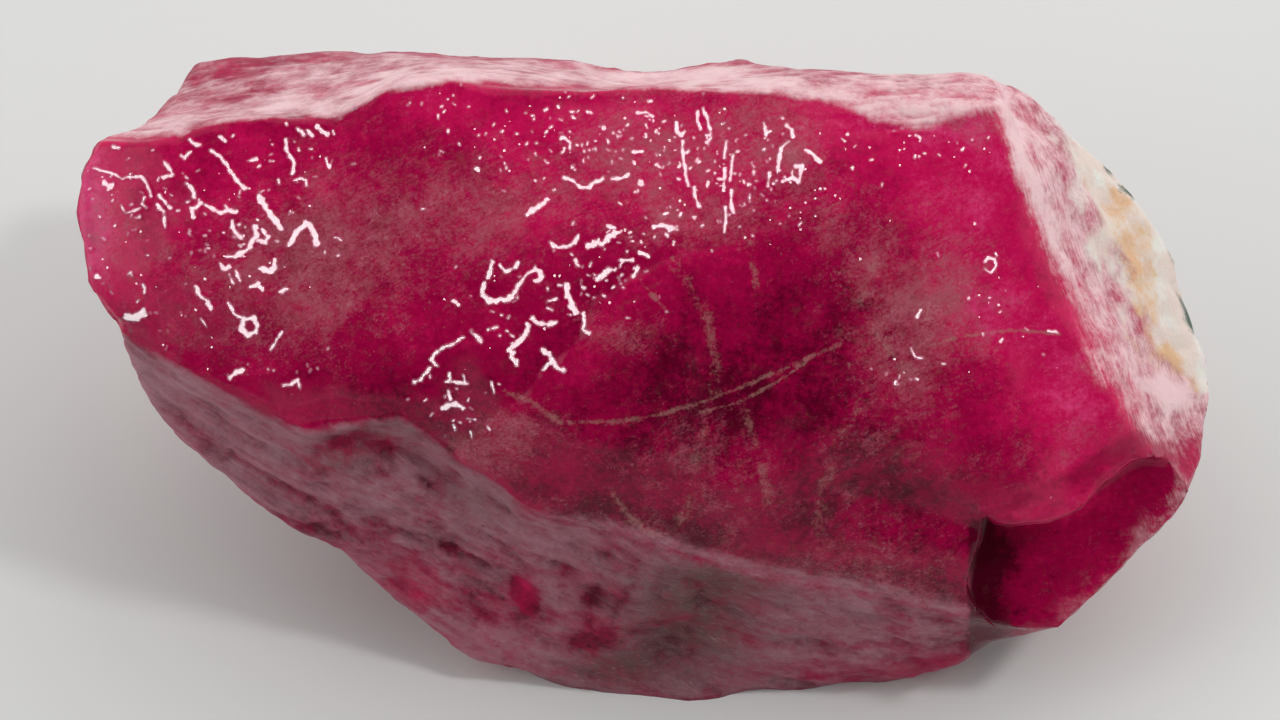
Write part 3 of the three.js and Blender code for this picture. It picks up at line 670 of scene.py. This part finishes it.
# grooves and pits of the dull flank: depth in mm, half width in pixels, then the line as x, y, x, y
grooves = [
    (0.156, 5, 150,374, 186,394, 212,412, 236,432, 262,446), (0.168, 5, 232,452, 285,485, 330,508, 352,524),
    (0.084, 5, 160,395, 190,425, 230,460), (0.108, 6, 289,512, 312,524, 338,534),
    (0.084, 5, 350,500, 400,530, 450,548, 500,566), (0.096, 8, 466,590, 480,606, 497,622),
    (0.108, 7, 515,578, 522,592, 534,608), (0.12, 8, 574,644, 592,641, 608,634),
    (0.24, 9, 322,449, 345,443, 368,441, 390,453), (0.144, 4, 420,472, 428,486),
    (0.12, 4, 446,468, 458,474), (0.156, 4, 488,497, 500,504, 509,512),
    (0.168, 5, 577,548, 592,553, 610,556), (0.108, 4, 556,562, 574,572),
    (0.12, 5, 600,580, 588,600, 590,622), (0.096, 4, 640,560, 630,590, 610,620),
    (0.096, 4, 700,590, 690,630),
]


def grooveDepths():
    # mm, and 1 in the middle of a groove
    deepest, nearest = np.zeros(len(points)), np.zeros(len(points))
    for depth, width, *line in grooves:
        trough = hump(gapTo(faceX, faceY, line)[0], 0, width)
        deepest = np.maximum(deepest, trough * depth)
        nearest = np.maximum(nearest, trough)
    return deepest * onFlank, nearest * onFlank


# relief, in mm but where noted

relief = {
    "swell": 0.1, "lumps": 0.026, "wetWaves": 0.022, "breakStep": 0.17,
    "glintEdge": 1.5,   # pixels over which a glint runs out
    "glintBead": 0.012,
    "flankStreaks": 0.15, "flankFibres": 0.08, "nicheFibres": 0.12, "blockFibres": 0.05,
    "stripFolds": 0.1, "end": 0.14, "hiddenScars": 0.34, "hiddenLumps": 0.08,
    # shares of those heights
    "rim": 0.35, "ridge": 0.3, "ripples": 0.5, "dryWaves": 0.3, "nicheStreaks": 0.4, "stripAll": 0.5,
    "hiddenEnd": 0.6, "endScars": 0.5, "notchScars": 0.35,
}
grooveDepth, inGroove = grooveDepths()


def stoneRelief():
    r = relief
    softRim = r["rim"] + (1 - r["rim"]) * across(-towardView, "softRim")
    waves = cloud("waves") + r["ripples"] * cloud("ripples")
    calm = smooth(nearGlint(faceX, faceY), *pixelReach["calm"])   # the film lies flat in the glints
    height = cloud("swell") * r["swell"]
    height += cloud("lumps") * r["lumps"] * (1 + hidden)
    height += waves * r["wetWaves"] * (r["dryWaves"] * onFace + wet) * calm
    height += (wetSide - 0.5) * r["breakStep"] * onFace * stops(faceX, "breakStep") - grooveDepth
    height += flankStreaks * r["flankStreaks"] * onFlank * (1 - (1 - r["nicheStreaks"]) * niche)
    height += flankFibres * r["flankFibres"] * onFlank
    height += nicheFibres * r["nicheFibres"] * niche
    height += blockFibres * r["blockFibres"] * block
    height += stripFolds * r["stripFolds"] * (r["stripAll"] * onStrip + dabs("topFold") * seen)
    atEnd = onEnd * across(pastBevel, "endGrain") + r["hiddenEnd"] * hidden * softRim
    height += cloud("endGrain") * r["end"] * atEnd
    scarred = hidden * softRim + r["endScars"] * onEnd + r["notchScars"] * unseenNotch * offRidge
    height += scars * r["hiddenScars"] * scarred
    height += cloud("hiddenLumps") * r["hiddenLumps"] * (hidden + unseenNotch)
    return height * across(points[:, 2], "base") * (r["ridge"] + (1 - r["ridge"]) * offRidge)


def glintShare():
    # 1 inside a glint, running out over its edge
    inside = across(relief["glintEdge"] - nearGlint(faceX, faceY), "glint")
    return inside * across(faceOut, "glintNotDeep") * across(towardView, "squareOn")


def filmLean():
    # how far the water film has to lean for it to mirror the lamp to the camera
    square = normalsOf(points, corners)
    facing = np.maximum(square @ np.array(towardCamera), lamp["leastFacing"])[:, None]
    between = unit(np.array(cameraPlace) - points) + unit(np.array(lampPlace) - points)
    return (between / (between @ np.array(towardCamera))[:, None] - square / facing) * facing


points += normals * stoneRelief()[:, None]
glintHere = glintShare()
points += normals * (glintHere * relief["glintBead"])[:, None]
points = np.clip(points, *(np.array(side) / mm for side in cadBox))
print("relief added")

# masks from 0 to 1, or a little past them, that the material reads


def veinMask():
    total = np.zeros(len(points))
    for width, *line in veins:
        gap = gapTo(faceX, faceY, line)[0] * toMm
        strength = veinShape["strength"] / math.sqrt(width)
        total = np.maximum(total, hump(gap, 0, veinShape["halfWidth"] * width) * strength)
    return total * onFace


# 0 is the darkest crimson and 1.4 the palest rose; besides the stone's own patchy tone, painted light: paler
# where light shines through the thin tip, crest and right end, darker where the stone is thick
toneShares = {
    "face": 0.5, "wetSide": 0.22, "drySide": -0.12, "zones": 0.15, "block": -0.2, "lowBand": -0.22,
    # groove: painted shade, a darker tone in the grooves of the flank
    "flank": 0.2, "flankZones": 0.12, "flankStreaks": 0.14, "groove": -0.1,
    # notch: painted shadow under the lobe, lifted towards the right by notchFloor; notchGlow: painted glow of
    # the thin lower right rim
    "notch": -0.25, "notchFloor": 0.7, "notchGlow": 0.45,
    "hidden": 0.42, "hiddenZones": 0.34, "hiddenScars": 0.14,
}


def toneMask(lowBand):
    s = toneShares
    # painted light and shade beside the break: lighter on the wet side, which leans towards the light, darker
    # on the dry side, which leans away
    besideBreak = hump(breakGap, 0, pixelReach["breakTone"])
    tone = s["face"] + dabs("tone") + (wetSide * s["wetSide"] + s["drySide"]) * besideBreak
    # lowBand: painted shade, a darker tone along the band above the foot where the face leans down
    tone += s["zones"] * cloud("zones") + s["block"] * blockFibres * block + s["lowBand"] * lowBand
    flank = s["flank"] + s["flankZones"] * cloud("flankZones") + s["flankStreaks"] * flankStreaks
    flank += dabs("flankTone")
    # painted shadow under the lobe, darkest at the left of the notch floor, and a painted glow along its thin
    # lower right rim
    floor = s["notch"] + s["notchFloor"] * begins(faceX + waver("notchEdge"), "notchFloor")
    floor += dabs("lobeTone") + s["notchGlow"] * begins(downRight, "notchGlow")
    back = s["hidden"] + s["hiddenZones"] * cloud("hiddenZones") + s["hiddenScars"] * scars
    for region, itsTone in ((onFlank, flank), (inNotch, floor), (hidden, back)):
        tone = tone * (1 - region) + itsTone * region
    # painted shade: the tone is darker in the grooves, but not at the bright spot
    return tone + s["groove"] * inGroove * (1 - dabs("brightSpot"))


filmShares = {
    "flank": 0.78, "even": 0.8, "streaks": 0.1, "fibres": 0.15, "holes": 0.3, "groove": -0.22,
    "niche": 0.28, "foot": 0.55, "hidden": 0.26, "hiddenClouds": 0.42, "hiddenScars": 0.12,
    "unseenNotch": 0.8,
}


def filmMask():
    # the dull film of the flank, with holes, and of the sides that are turned away
    s = filmShares
    foot = stripe(aboveFoot, "footFilm") * onFace * begins(faceX, "foot")
    holes = s["holes"] * across(cloud("filmHoles"), "filmHoles") + dabs("filmHoles")
    flank = s["even"] + s["streaks"] * flankStreaks + s["fibres"] * flankFibres - holes
    flank = s["flank"] * flank + s["groove"] * inGroove
    back = s["hidden"] + s["hiddenClouds"] * cloud("hiddenFilm") + s["hiddenScars"] * scars
    back = (hidden + s["unseenNotch"] * unseenNotch) * np.clip(back, 0, 1)
    inNiche = s["niche"] * niche * (0.5 + nicheFibres)
    return (flank + inNiche) * onFlank + s["foot"] * foot + back


frostShares = {
    # crest: the painted highlight along the crest
    "edgeVeil": 0.1, "softEdge": 0.45, "flatVeil": 0.55, "crest": 0.22, "folds": 0.1, "rightFolds": 0.22,
    "end": 0.5, "notch": 0.26, "hidden": 0.22,
}


def frostAndHighlightMask():
    # whitish where the broken edges are full of cracks, with a painted highlight along the crest
    s = frostShares
    edge = stripe(pastBevel, "edgeFrost") + s["edgeVeil"] * stripe(pastBevel, "edgeVeil")
    edge = edge * seenWide * np.interp(faceY, *trends["edgeFrost"])
    softEdge = s["softEdge"] * across(pastBevel, "edgeFrost") * seen
    softEdge = softEdge * begins(faceY, "edgeFrost") * stops(faceY, "edgeFrost")
    turned = s["flatVeil"] + (1 - s["flatVeil"]) * across(towardView, "veilTurn")
    # painted highlight: a pale line along the crest
    veil = np.interp(faceX, *trends["veil"]) * turned + s["crest"] * stripe(belowCrest, "crestHighlight")
    veil = veil + (s["folds"] + s["rightFolds"] * begins(faceX, "stripFolds")) * stripFolds
    veil = veil - dabs("veilHoles")
    end = s["end"] * onEnd * across(pastBevel, "endFrost")
    rim = s["notch"] * inNotch * begins(downRight, "notchFrost") + dabs("notchFrost") * seenWide
    back = s["hidden"] * across(cloud("hiddenFrost"), "hiddenFrost") * hidden
    return np.clip(edge + onStrip * veil + end + softEdge + rim + dabs("lobeFrost") * onFace + back, 0, 1)


rindBehind = {"middle": (22.5, 8.5, 14), "reach": (4.2, 7, 7.2), "edge": 1.25}   # mm, mm, share of the reach


def rindMask():
    # the pale crust of the right end, which carries on over the side behind it
    far = np.linalg.norm((points - rindBehind["middle"]) / np.array(rindBehind["reach"]), axis=1)
    back = across(rindBehind["edge"] - far + waver("rindEdge"), "rind") * hidden
    crust = across(pastBevel + waver("crustEdge"), "crust") * stops(faceY, "crust") * onEnd
    return np.maximum(back, crust)


maskShares = {
    "lowBandHaze": 0.25, "blockHaze": 0.3, "stain": 0.9, "ochreClouds": 0.5, "hiddenHost": 0.8,
    "ochreOverFrost": 0.7, "drySparkle": 0.25, "roughSides": 0.7, "roughNotch": 0.6,
}


def masks():
    s = maskShares
    lowBand = stripe(aboveFoot, "lowBand") * begins(faceX, "lowBand")
    haze = (dabs("haze") + s["lowBandHaze"] * lowBand) * onFace
    haze += s["blockHaze"] * block * across(blockFibres, "blockHaze")
    rind = rindMask()
    stain = hump(gapTo(faceX, faceY, stainLine)[0], 0, pixelReach["stain"])
    ochre = s["stain"] * stain + s["ochreClouds"] * cloud("ochre") + dabs("ochre")
    ochre = ochre * seenWide * across(pastBevel, "ochre")
    ochre = np.clip(ochre + hidden * across(cloud("hiddenOchre"), "hiddenOchre"), 0, 1)
    host = dabs("host") * seenWide
    host += s["hiddenHost"] * hidden * across(cloud("hiddenHost"), "hiddenHost")
    sparkle = s["drySparkle"] + (1 - s["drySparkle"]) * np.maximum(wetSide, rightWet)
    rough = onFlank + onEnd + onStrip + s["roughSides"] * (hidden + block) + s["roughNotch"] * unseenNotch
    found = {
        "tone": toneMask(lowBand), "vein": veinMask(), "rind": rind, "ochre": ochre, "glint": glintHere,
        "frostAndHighlight": frostAndHighlightMask() * (1 - s["ochreOverFrost"] * rind * ochre),
    }
    clipped = {
        "haze": haze, "film": filmMask(), "umber": dabs("umber") * onFlank, "host": host,
        "steep": across(pastBevel, "steep") * seenWide, "rough": rough,
        "sparkle": np.clip(dabs("sparkle"), 0, 1) * onFace * sparkle,
    }
    for name, values in clipped.items():
        found[name] = np.clip(values, 0, 1)
    return found


# the film sparkles most where the sprinkled glints are thickest
thickest = 44   # sprinkled glints in a patch that give the full sparkle
patches["sparkle"] = [(*patch, count / thickest) for *patch, count in sprinkles]


def buildStone():
    mesh = bpy.data.meshes.new("tugtupiteStone")
    mesh.from_pydata((points * mm).tolist(), [], corners.tolist())
    mesh.shade_smooth()
    for name, values in masks().items():
        layer = mesh.attributes.new(name, "FLOAT", "POINT")
        layer.data.foreach_set("value", values.astype(np.float32))
    layer = mesh.attributes.new("filmLean", "FLOAT_VECTOR", "POINT")
    layer.data.foreach_set("vector", filmLean().astype(np.float32).ravel())
    stone = bpy.data.objects.new("tugtupiteStone", mesh)
    show(stone)
    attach(stone, "root")
    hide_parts("tugtupite")
    return stone


stone = buildStone()
print("stone built")


def linear(code, alpha=1):
    parts = [int(code[i:i + 2], 16) / 255 for i in (1, 3, 5)]
    return (*[p / 12.92 if p <= 0.04045 else ((p + 0.055) / 1.055) ** 2.4 for p in parts], alpha)


eased = {"interpolation_type": "SMOOTHSTEP"}   # for a ramp that starts and ends softly


def add(tree, kind, links=None, **settings):
    # adds a node with its settings and gives its outputs; links holds what each input takes
    made = tree.nodes.new("ShaderNode" + kind)
    for name, value in settings.items():
        setattr(made, name, value)
    for socket, value in (links or {}).items():
        if isinstance(value, bpy.types.NodeSocket):
            tree.links.new(value, made.inputs[socket])
        else:
            made.inputs[socket].default_value = value
    return made.outputs


# wet massive tugtupite, broken by hand: a translucent crimson stone with a glassy film of water over
# its fresh break, and a dull fibrous skin where it broke long ago
tugtupite = {
    "deep": "#52001d", "crimson": "#94023b", "raspberry": "#be0f50", "rose": "#d8447c",
    "haze": "#ab5a69", "olive": "#7e4a42", "dust": "#c9989e", "vein": "#a57470",
    "film": "#a87884", "fibre": "#c29ba4", "umber": "#665350",
    # rim is a painted highlight, the pale pink edge of the lamp's reflection round each glint
    "frostAndHighlight": "#e6c2c6", "rim": "#dd9ab2",
    "cream": "#dccbc2", "ochre": "#d8ae88", "white": "#dedad3", "host": "#58645b",
    "gloss": 0.12, "dull": 0.5, "ior": 1.5,
    "specular": 0.15,   # a third of the usual mirror light: the film is thin and broken
    "glow": 0.2, "glowColors": (1, 0.12, 0.25),
    "glowDepth": 0.7,   # mm that red light spreads under the skin
    "beads": 0.2,   # mm between tiny beads of water, drawn about twice as coarse as real
    "beadSizes": (0.28, 0.4, 0.18), "beadShare": 0.36, "beadLuck": 0.995,
    "grainHeight": 0.1,   # mm
    "filmHeight": 0.6,   # of that, where the film lies proud
}

# the grain of the stone: width of its lumps in mm, layers, roughness, then for drawn out grain the
# length in mm and the angle on the large face in degrees. The finest real grains, under 0.1 mm, are
# drawn at 0.12 to 0.3 mm so that they show
grains = {
    "clouds": (1.5, 8, 0.7), "sugar": (0.26, 6, 0.82),
    "hazeClouds": (1.3, 10, 0.84), "hazeFibres": (0.1, 6, 0.75, 0.8, 28), "hazeDots": (0.12, 4, 0.75),
    "flecks": (0.3, 7, 0.8), "fleckPatches": (0.9, 4, 0.6),
    "grit": (0.14, 4, 0.7), "gritPatches": (0.8, 4, 0.7),
    "veinCrumbs": (0.2, 7, 0.85), "veinGaps": (1, 5, 0.75),
    "filmFibres": (0.1, 5, 0.7, 1.6, -34), "filmBands": (0.45, 6, 0.68, 5, -34),
    "filmSpecks": (0.5, 7, 0.75), "frostPatches": (1.4, 8, 0.72),
    "steepCracks": (0.14, 6, 0.7, 2.2, -70), "levelCracks": (0.3, 5, 0.66, 2.4, 8),
    "rockPatches": (1.6, 5, 0.65), "ochreStains": (0.8, 7, 0.75), "hostSpecks": (0.4, 5, 0.7),
    "rindEdge": (0.9, 6, 0.75), "roughness": (0.3, 6, 0.75),
}
hazeSwirl = 0.3   # how far the clouds of the haze are pulled about

# where each colour lies: the value of its cover where it starts and where it is full, then its share
covers = {
    "crimson": (0, 0.48, 1), "raspberry": (0.42, 0.92, 1), "rose": (0.88, 1.4, 1),
    "haze": (0.28, 1.35, 0.85), "olive": (0.46, 0.78, 0.32), "dust": (0.6, 0.8, 0.24),
    "vein": (0.38, 1.25, 0.52), "fibre": (0.52, 0.72, 0.6), "film": (0, 1.05, 0.92),
    "frostAndHighlight": (0.05, 0.95, 1), "white": (0.44, 0.6, 1), "ochre": (0.35, 1.15, 1), "host": (0.35, 0.9, 1),
    # rim: the painted highlight on and round the glints
    "rind": (0.2, 0.8, 1), "rim": (0.05, 0.9, 0.4),
}
# soft limits of those that stay within their own mask
limits = {"vein": 0.4, "film": 0.3, "frostAndHighlight": 0.25}


def wetTugtupite():
    material = bpy.data.materials.new("wet vitreous tugtupite")
    material.use_nodes = True
    tree = material.node_tree
    tree.nodes.clear()
    t = tugtupite
    hue = {name: linear(code) for name, code in t.items() if isinstance(code, str)}
    shape = add(tree, "TexCoord")["Object"]
    names = [layer.name for layer in stone.data.attributes if layer.data_type == "FLOAT"]
    mark = {name: add(tree, "Attribute", attribute_name=name)["Fac"] for name in names}

    def grain(name, swirl=0):
        thin, layers, rough, *drawnOut = grains[name]
        long, angle = drawnOut or (thin, 0)
        turn = Matrix.Rotation(math.radians(90 - shot["elevation"]), 3, "X") \
            @ Matrix.Rotation(math.radians(angle), 3, "Z")
        space = add(tree, "Mapping", {
            "Vector": shape, "Rotation": turn.to_euler() if drawnOut else (0, 0, 0),
            "Scale": (long * mm, thin * mm, thin * mm)}, vector_type="TEXTURE")
        return add(tree, "TexNoise", {
            "Vector": space[0], "Scale": 1, "Detail": layers, "Roughness": rough,
            "Distortion": swirl})["Fac"]

    def breakUp(value, *parts):
        # the value with each grain's swing about its middle added, at a strength
        for pattern, strength in parts:
            pattern = grain(pattern) if isinstance(pattern, str) else pattern
            swing = add(tree, "Math", {0: pattern, 1: 0.5}, operation="SUBTRACT")[0]
            value = add(tree, "Math", {0: swing, 1: strength, 2: value}, operation="MULTIPLY_ADD")[0]
        return value

    def lay(under, name, cover, over=None):
        # lays the named colour on, or another one in its place, as far as the cover says
        low, high, share = covers[name]
        amount = add(tree, "MapRange", {
            "Value": cover, "From Min": low, "From Max": high, "To Max": share}, **eased)[0]
        if name in limits:
            limit = add(tree, "MapRange", {"Value": mark[name], "From Max": limits[name]}, **eased)[0]
            amount = add(tree, "Math", {0: amount, 1: limit}, operation="MULTIPLY")[0]
        over = hue[name] if over is None else over
        return add(tree, "Mix", {0: amount, 6: under, 7: over}, data_type="RGBA")[2]

    tone = breakUp(mark["tone"], ("clouds", 0.8), ("sugar", 1.1))
    red = hue["deep"]
    for name in ("crimson", "raspberry", "rose"):
        red = lay(red, name, tone)

    # haze of fine pale fibres in the stone, in cloudy patches, with olive flecks, grit and veins
    swirled = grain("hazeClouds", hazeSwirl)
    felt = breakUp(mark["haze"], (swirled, 3.4), ("hazeFibres", 1.2), ("hazeDots", 1.4))
    red = lay(red, "haze", felt)
    fleck = breakUp(grain("flecks"), ("fleckPatches", 0.5), (mark["haze"], 0.14))
    red = lay(red, "olive", fleck)
    grit = breakUp(grain("grit"), ("gritPatches", 0.7), (mark["haze"], 0.16))
    red = lay(red, "dust", grit)
    red = lay(red, "vein", breakUp(mark["vein"], ("veinCrumbs", 3.4), ("veinGaps", 3.2)))

    # dull skin of the flank: grey mauve film drawn out in streaks
    dry = add(tree, "Mix", {0: mark["umber"], 6: hue["film"], 7: hue["umber"]}, data_type="RGBA")[2]
    dry = lay(dry, "fibre", grain("filmFibres"))
    film = breakUp(mark["film"], ("filmBands", 1), ("filmSpecks", 1))
    red = lay(red, "film", film, dry)

    # whitish veil of tiny cracks, steep ones beside the right hand edge and level ones behind the crest, and
    # a painted highlight along the crest
    level = add(tree, "Math", {0: 0.5, 1: mark["steep"]}, operation="SUBTRACT")[0]
    veil = breakUp(mark["frostAndHighlight"], ("frostPatches", 1.7), ("steepCracks", mark["steep"]))
    red = lay(red, "frostAndHighlight", breakUp(veil, ("levelCracks", level)))

    # granular host rock: cream and white with ochre stains and grey green specks
    rock = lay(hue["cream"], "white", grain("rockPatches"))
    rock = lay(rock, "ochre", breakUp(mark["ochre"], ("ochreStains", 2.2)))
    rock = lay(rock, "host", breakUp(mark["host"], ("hostSpecks", 1.1)))
    color = lay(red, "rind", breakUp(mark["rind"], ("rindEdge", 0.9)), rock)
    # painted highlight: a paler pink is painted on and round each glint, for the soft edge of the lamp's
    # reflection where the water stands up
    color = lay(color, "rim", mark["glint"])

    # the water film leans in the glints and in tiny beads, so that it mirrors the lamp there
    cells = add(tree, "TexVoronoi", {"Vector": shape, "Scale": 1 / (t["beads"] * mm)}, feature="F1")
    pick = add(tree, "SeparateColor", {"Color": cells["Color"]})
    luck = add(tree, "Math", {
        0: mark["sparkle"], 1: t["beadShare"], 2: pick[0]}, operation="MULTIPLY_ADD")[0]
    chosen = add(tree, "MapRange", {"Value": luck, "From Min": t["beadLuck"]}, **eased)[0]
    small, large, variety = t["beadSizes"]
    away = add(tree, "Math", {
        0: pick[1], 1: variety, 2: cells["Distance"]}, operation="MULTIPLY_ADD")[0]
    bead = add(tree, "MapRange", {
        "Value": away, "From Min": large, "From Max": small, "To Max": chosen}, **eased)[0]
    mirror = add(tree, "Math", {0: mark["glint"], 1: bead}, operation="MAXIMUM")[0]
    lean = add(tree, "Attribute", attribute_name="filmLean")["Vector"]
    lean = add(tree, "VectorMath", {0: lean, "Scale": mirror}, operation="SCALE")[0]

    # the dull parts are rough and finely grained, and the film lies a little proud of the stone
    broken = add(tree, "Math", {0: mark["rough"], 1: mark["rind"]}, operation="MAXIMUM")[0]
    dull = add(tree, "Math", {0: broken, 1: mark["frostAndHighlight"]}, operation="MAXIMUM")[0]
    gloss = add(tree, "MapRange", {
        "Value": dull, "To Min": t["gloss"], "To Max": t["dull"]}, **eased)[0]
    proud = add(tree, "Math", {0: film, 1: mark["film"]}, operation="MULTIPLY")[0]
    coarse = add(tree, "Math", {0: grain("roughness"), 1: dull}, operation="MULTIPLY")[0]
    height = add(tree, "Math", {0: proud, 1: t["filmHeight"], 2: coarse}, operation="MULTIPLY_ADD")[0]
    bump = add(tree, "Bump", {
        "Strength": 1, "Distance": t["grainHeight"] * mm, "Height": height})[0]
    leaning = add(tree, "VectorMath", {0: bump, 1: lean}, operation="ADD")[0]
    square = add(tree, "VectorMath", {0: leaning}, operation="NORMALIZE")[0]
    surface = add(tree, "BsdfPrincipled", {
        "Base Color": color, "Roughness": gloss, "IOR": t["ior"], "Specular IOR Level": t["specular"],
        "Normal": square, "Subsurface Weight": t["glow"], "Subsurface Radius": t["glowColors"],
        "Subsurface Scale": t["glowDepth"] * mm})
    add(tree, "OutputMaterial", {"Surface": surface[0]})
    return material


stone.data.materials.append(wetTugtupite())
print("stone finished")

# floor and light

studio = {
    "floor": "#d3d4d2", "floorRoughness": 0.8,
    "floorReach": 3000,   # mm
    "roomLight": 1.17,
    "darkLight": 0.05,   # in front, so that the wet face keeps its colour
    "darkHeight": 50,   # degrees above the floor, the middle of the dark side
    "darkReach": (33, 51),   # degrees from its middle
    # soft light behind the stone and a weaker one at its left: mm, mm, watts
    "boxPlace": (240, 390, 330), "boxSize": 420, "boxPower": 0.43,
    "fillPlace": (-470, -160, 330), "fillSize": 420, "fillPower": 0.55,
}


def makeFloor():
    mesh = bpy.data.meshes.new("floor")
    far = studio["floorReach"] * mm
    mesh.from_pydata([(-far, -far, 0), (far, -far, 0), (far, far, 0), (-far, far, 0)], [], [(0, 1, 2, 3)])
    floor = bpy.data.objects.new("floor", mesh)
    show(floor)
    material = bpy.data.materials.new("pale matte board")
    material.use_nodes = True
    shader = material.node_tree.nodes["Principled BSDF"]
    shader.inputs["Base Color"].default_value = linear(studio["floor"])
    shader.inputs["Roughness"].default_value = studio["floorRoughness"]
    mesh.materials.append(material)


def makeLamp(name, place, size, power):
    data = bpy.data.lights.new(name, "AREA")
    data.shape = "DISK"
    data.size = size * mm
    data.energy = power
    light = bpy.data.objects.new(name, data)
    light.location = place * mm
    light.rotation_euler = (faceMiddle - place).to_track_quat("-Z", "Y").to_euler()
    show(light)


def makeRoom():
    world = bpy.data.worlds.new("room")
    world.use_nodes = True
    tree = world.node_tree
    near, wide = (math.cos(math.radians(reach)) for reach in studio["darkReach"])
    darkSide = math.radians(studio["darkHeight"])
    facing = add(tree, "VectorMath", {
        0: add(tree, "TexCoord")["Generated"],
        1: (0, -math.cos(darkSide), math.sin(darkSide))}, operation="DOT_PRODUCT")
    strength = add(tree, "MapRange", {
        "Value": facing["Value"], "From Min": wide, "From Max": near,
        "To Min": studio["roomLight"], "To Max": studio["darkLight"]}, **eased)
    background = tree.nodes["Background"]
    background.inputs["Color"].default_value = (1, 1, 1, 1)
    tree.links.new(strength[0], background.inputs["Strength"])
    bpy.context.scene.world = world


makeFloor()
makeRoom()
makeLamp("back softbox", Vector(studio["boxPlace"]), studio["boxSize"], studio["boxPower"])
makeLamp("left softbox", Vector(studio["fillPlace"]), studio["fillSize"], studio["fillPower"])
makeLamp("small lamp", lampPlace, lamp["size"], lamp["power"])
bpy.context.scene.view_settings.view_transform = "Standard"
print("studio ready")
